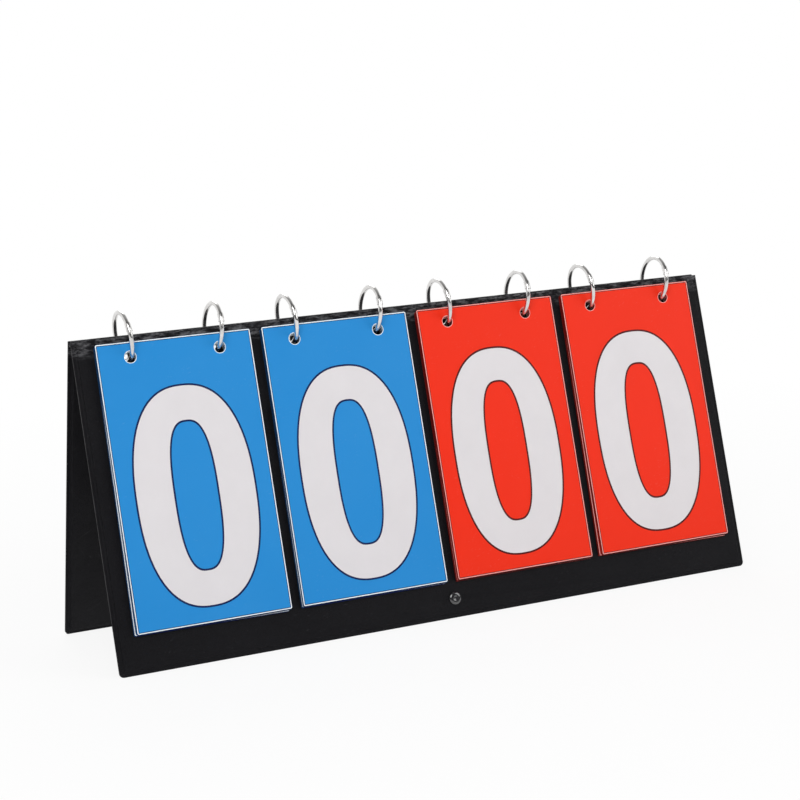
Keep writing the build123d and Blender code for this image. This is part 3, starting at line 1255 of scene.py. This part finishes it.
@dataclass
class BraceStrap:
    """The strap that stops the feet from sliding apart."""

    stand: Stand
    finishes: Finishes
    width: float = 18.0
    height: float = 3.2             # its level run above the table
    tab: float = 7.5                # above its rivet
    bend: float = 1.6               # radius at the foot of a leaf
    bend_reach: float = 1.3         # how far from the foot the bend begins, in radii
    sag: float = 0.7
    rivet_hole: float = 1.65        # radius
    tab_steps: int = 6
    bend_steps: int = 5
    run_steps: int = 8              # from a bend to the middle

    def route(self) -> list[Vector]:
        """The strap's middle line, from one tab to the other.

        Returns:
            Points in the YZ plane.
        """
        depth = FACE_INNER - STRAP_THICKNESS / 2
        fold_z = self.stand.fold.z

        def inside(down: float) -> Vector:
            """A point on the inside of the front leaf, so far down its slope."""
            y = -(down * sin(LEAN) + depth * cos(LEAN))
            return Vector((0, y, fold_z - down * cos(LEAN) + depth * sin(LEAN)))

        foot = (fold_z - self.height + depth * sin(LEAN)) / cos(LEAN)
        tab = self.stand.rivet_down - self.tab
        reach = self.bend * self.bend_reach
        straight = foot - reach - tab
        half = [inside(tab + straight * n / self.tab_steps) for n in range(self.tab_steps + 1)]
        corner, level = inside(foot), Vector((0, 1, 0))
        rise = (half[-1] - corner).normalized()
        for n in range(1, self.bend_steps):
            share = n / self.bend_steps
            first = corner + rise * reach * (1 - share)
            half.append(first.lerp(corner + level * reach * share, share))
        run_start = corner + level * reach
        for n in range(self.run_steps + 1):
            share = n / self.run_steps
            point = run_start.lerp(Vector((0, 0, run_start.z)), share)
            half.append(point - Vector((0, 0, self.sag * sin(pi / 2 * share))))
        other = [Vector((0, -point.y, point.z)) for point in reversed(half[:-1])]
        return half + other

    def section(self) -> list[tuple[float, float]]:
        """The strap's section, with its rounded edges and the pressed line beside each.

        Returns:
            Points all the way round, each a place across the strap and one up, from its middle line.
        """
        across = (-1, -0.97, -0.90, -0.86, -0.5, 0, 0.5, 0.86, 0.90, 0.97, 1)
        crown = (0.45, 1, 0.8, 1, 1, 1, 1, 1, 0.8, 1, 0.45)
        top = [(share * self.width / 2, high * STRAP_THICKNESS / 2) for share, high in zip(across, crown)]
        return top + [(x, -high) for x, high in reversed(top)]

    def web(self) -> bpy.types.Object:
        """The strap without its holes.

        Returns:
            The strap, in its place, in millimetres.
        """
        route, section = self.route(), self.section()
        mesh, rows = bmesh.new(), []
        for n, point in enumerate(route):
            ahead = route[min(n + 1, len(route) - 1)] - route[max(n - 1, 0)]
            up = Vector((1, 0, 0)).cross(ahead).normalized()
            middle = point + Vector((self.stand.rivet_x, 0, 0))
            rows.append([mesh.verts.new(middle + Vector((x, 0, 0)) + up * high) for x, high in section])
        for first, second in zip(rows, rows[1:]):
            for a in range(len(section)):
                b = (a + 1) % len(section)
                mesh.faces.new((first[a], first[b], second[b], second[a]))
        mesh.faces.new(reversed(rows[0]))
        mesh.faces.new(rows[-1])
        strap = add_object("brace_strap_web", bpy.data.meshes.new("brace_strap_web"))
        mesh.to_mesh(strap.data)
        mesh.free()
        return strap

    def build(self) -> None:
        """Model the strap along its route, with its rivet holes."""
        strap = self.web()
        with edit_mode(strap):
            bpy.ops.mesh.select_all(action="SELECT")
            bpy.ops.mesh.normals_make_consistent(inside=False)
        for side in Side:
            place = Matrix.Translation((side.value * self.stand.rivet_x, -self.stand.rivet_down, 0))
            punch = rod("punch", (0, 0, 0), self.rivet_hole, PUNCH_LENGTH, sides=32)
            carry(punch, self.stand.leaf_frame(side) @ place)
            combine(strap, punch, "DIFFERENCE")
        smooth(strap, 50)
        settle(strap, Matrix.Identity(4))
        dress(strap, self.finishes.strap)
        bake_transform(strap)
        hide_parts("brace_strap")
        log.info("made %s", strap.name)


# ---- the numbers ----------------------------------------------------------------------------------


HALF_HEIGHT = 57.0              # a number's middle to its top
BAR_WIDTH = 17.9
BAR_AT = HALF_HEIGHT - BAR_WIDTH / 2    # the middle of a bar along a number's top


@dataclass(frozen=True)
class Box:
    """An upright rectangle."""

    x0: float
    y0: float
    x1: float
    y1: float


@dataclass(frozen=True)
class Bowl:
    """A round stroke that closes on itself: an oval with an oval counter, less some rectangles."""

    middle_y: float
    half_height: float
    counter_half_height: float
    half_width: float = 32.25
    counter_half_width: float = 12.4
    missing: tuple[Box, ...] = ()


@dataclass(frozen=True)
class Bar:
    """A straight stroke between two points."""

    start: tuple[float, float]
    end: tuple[float, float]
    width: float = BAR_WIDTH


Stroke = Bowl | Bar

# The strokes of each number, from its middle, with x to the right and y up. A nine is a six turned round.
SIX = (
    Bowl(0, HALF_HEIGHT, 39.2, missing=(Box(0, -30, 40, 27), Box(-12.4, -60, 40, -7.5))),
    Bowl(-23.5, 33.5, 16),
)
STROKES: dict[int, tuple[Stroke, ...]] = {
    0: (Bowl(0, HALF_HEIGHT, 39.2),),
    1: (Bar((9, -HALF_HEIGHT), (9, HALF_HEIGHT), 20), Bar((9, 54), (-19, 34), 16)),
    2: (
        Bowl(22, 35, 17.2, 31.5, 11.8, missing=(Box(-40, -20, 0, 18), Box(-1, -20, 40, 12))),
        Bar((22.4, 17.2), (-17, -46), 19.5),
        Bar((-32, -BAR_AT), (32, -BAR_AT)),
    ),
    3: (
        Bowl(27.5, 29.5, 13.5, half_width=31, counter_half_width=11.5, missing=(Box(-40, -10, 1, 27),)),
        Bar((-7, 3), (6, 3), 22),
        Bowl(-24.5, 32.5, 16.5, missing=(Box(-40, -26, 1, 20),)),
    ),
    4: (
        Bar((13, -HALF_HEIGHT), (13, HALF_HEIGHT), 20),
        Bar((-33, -27), (33, -27), 17),
        Bar((-25, -27), (9, 54), 17.5),
    ),
    5: (
        Bar((-25, BAR_AT), (28, BAR_AT)),
        Bar((-17.3, 56), (-20.3, -2.3), 17.5),
        Bowl(-21, 36, 18.5, missing=(Box(-40, -26, -2, -2.5), Box(-40, -26, -28.9, 20))),
    ),
    6: SIX,
    7: (Bar((-31, BAR_AT), (31.5, BAR_AT)), Bar((21.4, 50), (-8, -60), 20.5)),
    8: (
        Bowl(28, 29, 13, half_width=29.5, counter_half_width=11),
        Bowl(-25, 32, 16),
    ),
    9: SIX,
}


@dataclass
class NumberShapes:
    """The ten numbers as thin slabs of ink, lying flat with their middle at the origin."""

    film: float = 0.015             # how thick the ink lies
    outline: float = 1.0            # the dark line round a number
    power: float = 2.4              # how square an oval's outside is
    counter_power: float = 2.75     # and its counter's
    points_round: int = 96
    page_width: float = 200.0       # wider than any number

    def oval(
        self, middle: tuple[float, float], half: tuple[float, float], power: float, height: float
    ) -> bpy.types.Object:
        """A solid oval.

        Args:
            middle: its middle.
            half: half its width and height.
            power: how square it is; 2 is an ellipse.
            height: how far it reaches above and below.

        Returns:
            The oval.
        """
        made = rod("oval", (0, 0, 0), 1.0, 2 * height, self.points_round)
        for vertex in made.data.vertices:
            x, y = vertex.co.x, vertex.co.y
            swell = (abs(x) ** power + abs(y) ** power) ** (-1 / power)
            vertex.co.x = middle[0] + x * swell * half[0]
            vertex.co.y = middle[1] + y * swell * half[1]
        return made

    def slab(self, low: tuple[float, float], high: tuple[float, float], height: float) -> bpy.types.Object:
        """A solid rectangle between two corners that reaches a height above and below."""
        middle = ((low[0] + high[0]) / 2, (low[1] + high[1]) / 2, 0)
        return block("slab", middle, (high[0] - low[0], high[1] - low[1], 2 * height))

    def stroke(self, shape: Stroke, grow: float) -> bpy.types.Object:
        """One stroke as a solid.

        Args:
            shape: the stroke.
            grow: how much wider it is drawn on every side.

        Returns:
            The stroke's solid.
        """
        if isinstance(shape, Bar):
            start, end = Vector(shape.start), Vector(shape.end)
            way = end - start
            x, y = way.length / 2 + grow, shape.width / 2 + grow
            bar = self.slab((-x, -y), (x, y), self.film)
            turn = Matrix.Rotation(-Vector((1, 0)).angle_signed(way), 4, "Z")
            return carry(bar, Matrix.Translation((start + end).to_3d() / 2) @ turn)
        middle = (0.0, shape.middle_y)
        bowl = self.oval(middle, (shape.half_width + grow, shape.half_height + grow), self.power, self.film)
        counter_half = (shape.counter_half_width - grow, shape.counter_half_height - grow)
        combine(bowl, self.oval(middle, counter_half, self.counter_power, 2 * self.film), "DIFFERENCE")
        for gap in shape.missing:
            low, high = (gap.x0 + grow, gap.y0 + grow), (gap.x1 - grow, gap.y1 - grow)
            combine(bowl, self.slab(low, high, 2 * self.film), "DIFFERENCE")
        return bowl

    def number(self, value: int, grow: float) -> bpy.types.Object:
        """A whole number as one solid.

        Args:
            value: which number.
            grow: how much wider it is drawn.

        Returns:
            The number's solid, its lower face at z = 0.
        """
        strokes = [self.stroke(shape, grow) for shape in STROKES[value]]
        whole = strokes[0]
        for other in strokes[1:]:
            combine(whole, other, "UNION")
        reach = HALF_HEIGHT + grow
        page = block("page", (0, 0, self.film), (self.page_width, 2 * reach, 2 * self.film))
        combine(whole, page, "INTERSECT")
        if value == 9:
            carry(whole, Matrix.Rotation(pi, 4, "Z"))
        return whole


@dataclass
class CardPrint:
    """What is printed on a card: a pale margin between two dark lines, a number and the line round it."""

    finishes: Finishes
    shapes: NumberShapes = field(default_factory=NumberShapes)
    card_width: float = 85.0
    card_height: float = 148.5
    card_tab: float = 8.0           # the holes to the card's top edge
    corner_radius: float = 1.0
    least_radius: float = 0.2       # of the frames inside the card's edge
    edge_line: float = 0.14         # dark line at the cut edge
    margin: float = 0.50            # pale margin inside it
    keyline: float = 0.35           # dark line inside the margin
    hole_margin: float = 0.35
    number_down: float = 74.7       # the holes to the number's middle

    def frame_band(self, name: str, outset: float, width: float) -> bpy.types.Object:
        """A thin frame that follows the card's edge.

        Args:
            name: what it is called.
            outset: how far inside the card's edge it starts.
            width: how wide it is.

        Returns:
            The frame, in the card's own frame.
        """
        film = self.shapes.film
        middle = (0, self.card_tab - self.card_height / 2, film / 2)
        outer = block(name, middle, (self.card_width - 2 * outset, self.card_height - 2 * outset, film))
        cut = outset + width
        inner = block("inner", middle, (self.card_width - 2 * cut, self.card_height - 2 * cut, 3 * film))
        for frame_part, inside in ((outer, outset), (inner, cut)):
            with edit_mode(frame_part):
                pick_edges(lambda a, b: abs(a.z - b.z) > film / 2)
                radius = max(self.corner_radius - inside, self.least_radius)
                bpy.ops.mesh.bevel(offset=radius, segments=5, affect="EDGES")
        combine(outer, inner, "DIFFERENCE")
        return outer

    def margins(self) -> bpy.types.Object:
        """The pale margin round the card and round its two holes.

        Returns:
            The margins, in the card's own frame.
        """
        film = self.shapes.film
        frame_part = self.frame_band("margin", self.edge_line, self.margin)
        rims = []
        for hand in (-1, 1):
            place = (hand * HOLE_SPACING / 2, 0, film / 2)
            rim = rod("rim", place, HOLE_RADIUS + self.hole_margin, film)
            combine(rim, rod("hole", place, HOLE_RADIUS, 3 * film), "DIFFERENCE")
            rims.append(rim)
        choose(frame_part, *rims)
        bpy.ops.object.join()
        return frame_part

    def drawing(self, value: int) -> tuple[bpy.types.Object, bpy.types.Object]:
        """A number and the line round it, in the card's own frame.

        Args:
            value: the card's number.

        Returns:
            The number and the line.
        """
        fill = self.shapes.number(value, 0.0)
        line = self.shapes.number(value, self.shapes.outline)
        cutter = duplicate(fill, "cutter")
        carry(cutter, Matrix.Scale(3, 4, (0, 0, 1)) @ Matrix.Translation((0, 0, -self.shapes.film / 3)))
        combine(line, cutter, "DIFFERENCE")
        for part in (fill, line):
            carry(part, Matrix.Translation((0, -self.number_down, 0)))
        return fill, line

    def templates(self) -> dict[tuple[int, Team], bpy.types.Object]:
        """All the print of each number for each team, in the card's own frame.

        Returns:
            The prints.
        """
        margin = self.margins()
        edge_line = self.frame_band("edge_line", 0.0, self.edge_line)
        keyline = self.frame_band("keyline", self.edge_line + self.margin, self.keyline)
        made = {}
        for value in range(10):
            fill, line = self.drawing(value)
            for team in Team:
                dark = self.finishes.outline[team]
                inks = {fill: self.finishes.digit, margin: self.finishes.margin[team]}
                inks |= {part: dark for part in (line, edge_line, keyline)}
                parts = [duplicate(part, f"{team.value}_print") for part in inks]
                for part, ink in zip(parts, inks.values()):
                    dress(part, ink)
                choose(*parts)
                bpy.ops.object.join()
                made[value, team] = parts[0]
            throw_away(fill, line)
        throw_away(margin, keyline, edge_line)
        return made


@dataclass
class CardStack:
    """One stack of ten cards on its two rings."""

    name: str
    team: Team
    stand: Stand
    finishes: Finishes
    swing: float                    # how far its rear cards hang askew, in radians
    last_depth: float = 3.3         # fold axis to the middle of the last card
    pitch: float = 0.3
    thickness: float = 0.25
    cards: int = 10
    first_askew: int = 5            # the cards from this number back hang askew

    def card_frame(self, number: int) -> Matrix:
        """A card's own frame: between its holes, y up the card, z square to it at its printed face.

        Args:
            number: the card's number.

        Returns:
            The frame in the part's frame.
        """
        depth = self.last_depth + self.pitch * (self.cards - 1 - number)
        down = sqrt(RING_RADIUS**2 - depth**2)
        place = Matrix.Translation((stack_middle(self.name), -down, depth + self.thickness / 2))
        swing = Matrix.Rotation(self.swing if number >= self.first_askew else 0, 4, "Z")
        return self.stand.leaf_frame(Side.FRONT) @ place @ swing

    def build(self, packed: dict, templates: dict[tuple[int, Team], bpy.types.Object]) -> None:
        """Print the stack's cards and dress them and their rings.

        Args:
            templates: the print of each number for each team.
        """
        for number in range(self.cards):
            card = f"{self.name}_card_{number}"
            dress(packed["nodes"][card], self.finishes.stock[self.team])
            printed = duplicate(templates[number, self.team], f"{self.name}_print_{number}")
            settle(printed, self.card_frame(number))
            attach(printed, card)
        for hand in ("left", "right"):
            dress(packed["nodes"][f"{self.name}_ring_{hand}"], self.finishes.ring)
        log.info("made the %s stack", self.name)


# ---- the studio -----------------------------------------------------------------------------------


@dataclass(frozen=True)
class Softbox:
    """A square lamp that faces the board."""

    name: str
    place: tuple[float, float, float]
    size: float
    power: float                            # in watts

    def hang(self, aim: Vector) -> None:
        """Hang the lamp.

        Args:
            aim: what it faces.
        """
        data = bpy.data.lights.new(self.name, "AREA")
        data.shape = "SQUARE"
        data.size = self.size
        data.energy = self.power
        lamp = add_object(self.name, data)
        lamp.location = self.place
        lamp.rotation_euler = (aim - Vector(self.place)).to_track_quat("-Z", "Y").to_euler()


@dataclass
class Studio:
    """A pale floor, soft lamps and the camera, placed in metres."""

    stand: Stand
    lamps: tuple[Softbox, ...] = (
        Softbox("key", (-0.9, -1.5, 1.4), 1.1, 22.0),
        Softbox("fill", (1.3, -1.2, 0.9), 1.0, 8.5),
        Softbox("back", (0.2, 1.3, 1.3), 1.0, 9.0),
    )
    aim_height: float = 0.6                 # what the lamps face, as a share of the fold's height
    camera_place: tuple[float, float, float] = (-0.49365, -1.01043, 0.31542)
    camera_yaw: float = radians(25.830)     # to the right of straight on
    camera_pitch: float = radians(-10.172)
    camera_roll: float = radians(-2.484)
    lens: float = 93.09
    sensor: float = 36.0
    even_light: float = 0.40                # from all round
    room: float = 0.10                      # what shiny things see in front of the stand
    floor_size: float = 30.0
    floor_drop: float = 0.0002              # how far it lies under the feet
    floor_tone: float = 0.93
    floor_glow: float = 0.88                # how white the floor is under the stand, apart from its light
    glow_reach: tuple[float, float] = (0.25, 0.75)      # where that starts to fade and the floor is white

    def camera(self) -> None:
        """Set up the camera."""
        data = bpy.data.cameras.new("camera")
        data.sensor_width = self.sensor
        data.lens = self.lens
        data.clip_start = 0.05
        camera = add_object("camera", data)
        look = Matrix.Rotation(-self.camera_yaw, 4, "Z") @ Matrix.Rotation(pi / 2 + self.camera_pitch, 4, "X")
        roll = Matrix.Rotation(self.camera_roll, 4, "Z")
        camera.matrix_world = Matrix.Translation(self.camera_place) @ look @ roll
        bpy.context.scene.camera = camera

    def seen(self, graph: Graph) -> bpy.types.NodeSocket:
        """Whether a ray looks at the background, in a reflection or through glass too.

        Args:
            graph: the graph that asks.

        Returns:
            A socket that is 1 for such a ray.
        """
        path = graph.add("LightPath")
        either = graph.maths("MAXIMUM", path.outputs["Is Camera Ray"], path.outputs["Is Glossy Ray"])
        return graph.maths("MAXIMUM", either, path.outputs["Is Transmission Ray"])

    def surround(self) -> None:
        """A white sweep behind, for reflections the room's dusk in front and above, and an even light."""
        world = bpy.data.worlds.new("surround")
        world.use_nodes = True
        bpy.context.scene.world = world
        graph = Graph(world.node_tree)
        way = graph.add("SeparateXYZ", {0: graph.add("TexCoord").outputs["Generated"]})
        behind = graph.ramp(way.outputs["Y"], -0.35, 0.1)
        below_lamps = graph.ramp(way.outputs["Z"], 0.8, 0.5, 0.3, 1.0)
        sweep = graph.ramp(graph.times(behind, below_lamps), 0, 1, self.room, 1.0)
        light = graph.add("Background", {"Color": (1, 1, 1, 1), "Strength": self.even_light})
        straight = graph.add("LightPath").outputs["Is Camera Ray"]
        whiteness = graph.maths("MAXIMUM", sweep, straight)
        white = graph.add("Background", {"Color": (1, 1, 1, 1), "Strength": whiteness})
        both = graph.add("MixShader", {0: self.seen(graph), 1: light.outputs[0], 2: white.outputs[0]})
        graph.add("OutputWorld", {"Surface": both.outputs[0]})

    def floor(self) -> None:
        """A pale floor that keeps the object's shadow."""
        deselect_all()
        bpy.ops.mesh.primitive_plane_add(size=self.floor_size, location=(0, 0, -self.floor_drop))
        floor = bpy.context.object
        floor.name = "floor"
        material, graph = new_material("pale_floor")
        matt = graph.add("BsdfDiffuse", {"Color": (self.floor_tone, self.floor_tone, self.floor_tone, 1)})
        glow = graph.add("Emission", {"Color": (1, 1, 1, 1), "Strength": 1.0})
        away = graph.add("VectorMath", {0: graph.places()}, operation="LENGTH").outputs["Value"]
        whiteness = graph.ramp(away, *self.glow_reach, self.floor_glow, 1.0)
        share = graph.times(self.seen(graph), whiteness)
        both = graph.add("MixShader", {0: share, 1: matt.outputs[0], 2: glow.outputs[0]})
        graph.add("OutputMaterial", {"Surface": both.outputs[0]})
        dress(floor, material)
        floor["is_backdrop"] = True

    def build(self) -> None:
        """Set up the whole studio."""
        self.camera()
        for lamp in self.lamps:
            lamp.hang(self.stand.fold * MM * self.aim_height)
        self.surround()
        self.floor()
        bpy.context.scene.view_settings.view_transform = "Standard"


def dress_hidden_parts(packed: dict, finishes: Finishes) -> None:
    """Dress the boards in the leaves and the rivets' washers, which keep their own shape.

    Args:
        finishes: the part's finishes.
    """
    for side in Side:
        dress(packed["nodes"][f"{side.label}_core_board"], finishes.board)
        dress(packed["nodes"][f"{side.label}_rivet_washer"], finishes.washer)


def main() -> None:
    """Build the object's looks piece by piece."""
    logging.basicConfig(level=logging.INFO, format="%(name)s: %(message)s")
    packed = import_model()
    cad_box = [list(corner) for corner in packed_bounds()]
    stand = Stand.read(packed)
    finishes = Finishes()
    for side in Side:
        LeafCover(stand, side, finishes).build()
        StrapRivet(stand, side, finishes).build()
    RidgeFold(stand, finishes).build()
    BraceStrap(stand, finishes).build()
    templates = CardPrint(finishes).templates()
    for name, swing in zip(STACK_NAMES, STACK_SWINGS):
        team = Team.BLUE if name.startswith("blue") else Team.RED
        CardStack(name, team, stand, finishes, radians(swing)).build(packed, templates)
    throw_away(*templates.values())
    dress_hidden_parts(packed, finishes)
    Studio(stand).build()
    {"cad": cad_box, "visual": [list(corner) for corner in packed_bounds()]}


def packed_bounds() -> Iterable[Vector]:
    """The shown object's lowest and highest corners now."""
    bpy.context.view_layer.update()
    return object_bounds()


if __name__ == "__main__":
    main()
